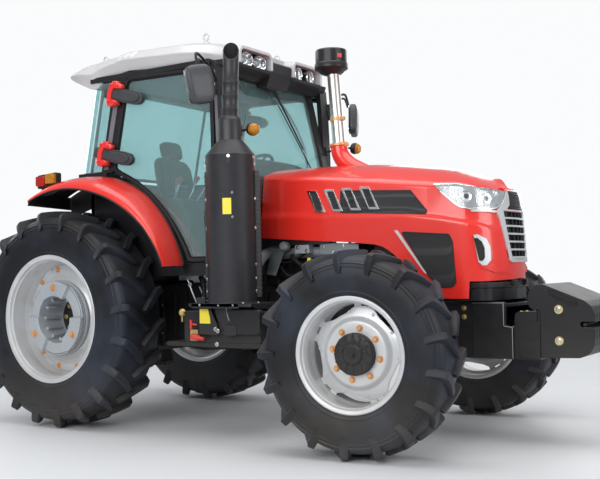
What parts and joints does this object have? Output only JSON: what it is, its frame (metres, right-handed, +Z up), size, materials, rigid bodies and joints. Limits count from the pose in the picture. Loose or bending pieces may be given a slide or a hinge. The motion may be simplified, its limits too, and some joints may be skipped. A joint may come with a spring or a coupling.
{
  "type": "farm tractor",
  "caption": "Four-wheel-drive farm tractor with glazed cab, steered front axle, tilting hood, opening doors, front weights, exhaust canister and rear linkage.",
  "frame": {"origin": "on the ground under the middle of the tractor's length and width", "axes": "+X forward, +Y to the tractor's left, +Z up"},
  "size_m": [5.1472, 2.6272, 3.0494],
  "materials": {
    "red_paint": "gloss",
    "roof_paint": "gloss",
    "black_metal": "satin",
    "cast_black": "satin",
    "grey_metal": "satin",
    "silver_rim": "satin",
    "tyre_rubber": "matte",
    "cab_glass": "clear",
    "lamp_glass": "clear",
    "amber_plastic": "gloss",
    "black_plastic": "matte",
    "charcoal_metal": "satin",
    "bright_metal": "polished",
    "seat_fabric": "matte"
  },
  "bodies": {
    "chassis": {"battery_box": "black_metal", "cab_floor": "black_metal", "cab_frame": "black_metal", "engine_block": "grey_metal", "exhaust_canister": "charcoal_metal", "fenders": "red_paint", "fixed_glass": "cab_glass", "front_axle_beam": "cast_black", "front_support": "cast_black", "front_weights": "cast_black", "fuel_tank": "black_plastic", "lift_linkage": "cast_black", "lower_links": "cast_black", "mirrors": "black_plastic", "nose_valance": "black_plastic", "rear_axle_housing": "cast_black", "rear_window": "cab_glass", "roof": "roof_paint", "roof_lamps": "black_plastic", "seat": "seat_fabric", "steering_column": "black_plastic", "transmission_housing": "grey_metal", "turn_lamps": "amber_plastic", "weight_bracket": "cast_black"},
    "steering_rod": {"steering_rod": "bright_metal"},
    "knuckle_left": {"knuckle_left": "cast_black"},
    "knuckle_right": {"knuckle_right": "cast_black"},
    "front_wheel_left": {"front_tyre_left": "tyre_rubber", "front_rim_left": "silver_rim", "front_hub_left": "cast_black"},
    "front_wheel_right": {"front_tyre_right": "tyre_rubber", "front_rim_right": "silver_rim", "front_hub_right": "cast_black"},
    "rear_wheel_left": {"rear_tyre_left": "tyre_rubber", "rear_rim_left": "silver_rim"},
    "rear_wheel_right": {"rear_tyre_right": "tyre_rubber", "rear_rim_right": "silver_rim"},
    "door_left": {"door_frame_left": "black_metal", "door_glass_left": "cab_glass"},
    "door_right": {"door_frame_right": "black_metal", "door_glass_right": "cab_glass"},
    "hood": {"hood_shell": "red_paint", "hood_meshes": "black_plastic", "grille": "bright_metal", "headlights": "lamp_glass", "intake_elbow": "red_paint", "precleaner": "black_plastic"}
  },
  "joints": [
    {"name": "steer_left", "type": "hinge", "parent": "chassis", "child": "knuckle_left", "pos_m": [1.242, 0.805, 0.673], "axis": [0, 0, 1], "range_deg": [-46, 34]},
    {"name": "steer_right", "type": "hinge", "parent": "chassis", "child": "knuckle_right", "pos_m": [1.242, -0.805, 0.673], "axis": [0, 0, 1], "range_deg": [-46, 34]},
    {"name": "steering_rod_slide", "type": "slide", "parent": "chassis", "child": "steering_rod", "axis": [0, 1, 0], "range_m": [-0.1, 0.13]},
    {"name": "front_wheel_left_spin", "type": "hinge", "parent": "knuckle_left", "child": "front_wheel_left", "pos_m": [1.2143, 1.06855, 0.673], "axis": [-0.1045, 0.9945, 0], "continuous": true},
    {"name": "rear_wheel_left_spin", "type": "hinge", "parent": "chassis", "child": "rear_wheel_left", "pos_m": [-1.528, 0.936, 0.867], "axis": [0, 1, 0], "continuous": true},
    {"name": "door_left_hinge", "type": "hinge", "parent": "chassis", "child": "door_left", "pos_m": [-1.258, 0.885, 2.15], "axis": [0.2696, 0, 0.963], "range_deg": [0, 70]},
    {"name": "front_wheel_right_spin", "type": "hinge", "parent": "knuckle_right", "child": "front_wheel_right", "pos_m": [1.2697, -1.06855, 0.673], "axis": [-0.1045, 0.9945, 0], "continuous": true},
    {"name": "rear_wheel_right_spin", "type": "hinge", "parent": "chassis", "child": "rear_wheel_right", "pos_m": [-1.528, -0.936, 0.867], "axis": [0, 1, 0], "continuous": true},
    {"name": "door_right_hinge", "type": "hinge", "parent": "chassis", "child": "door_right", "pos_m": [-1.258, -0.885, 2.15], "axis": [-0.2696, 0, -0.963], "range_deg": [0, 70]},
    {"name": "hood_hinge", "type": "hinge", "parent": "chassis", "child": "hood", "pos_m": [1.968, 0, 1.108], "axis": [0, 1, 0], "range_deg": [0, 45]}
  ],
  "couplings": [
    {"joint": "steer_right", "follows": "steer_left", "ratio": 1},
    {"joint": "steering_rod_slide", "follows": "steer_left", "m_per_rad": -0.156}
  ]
}
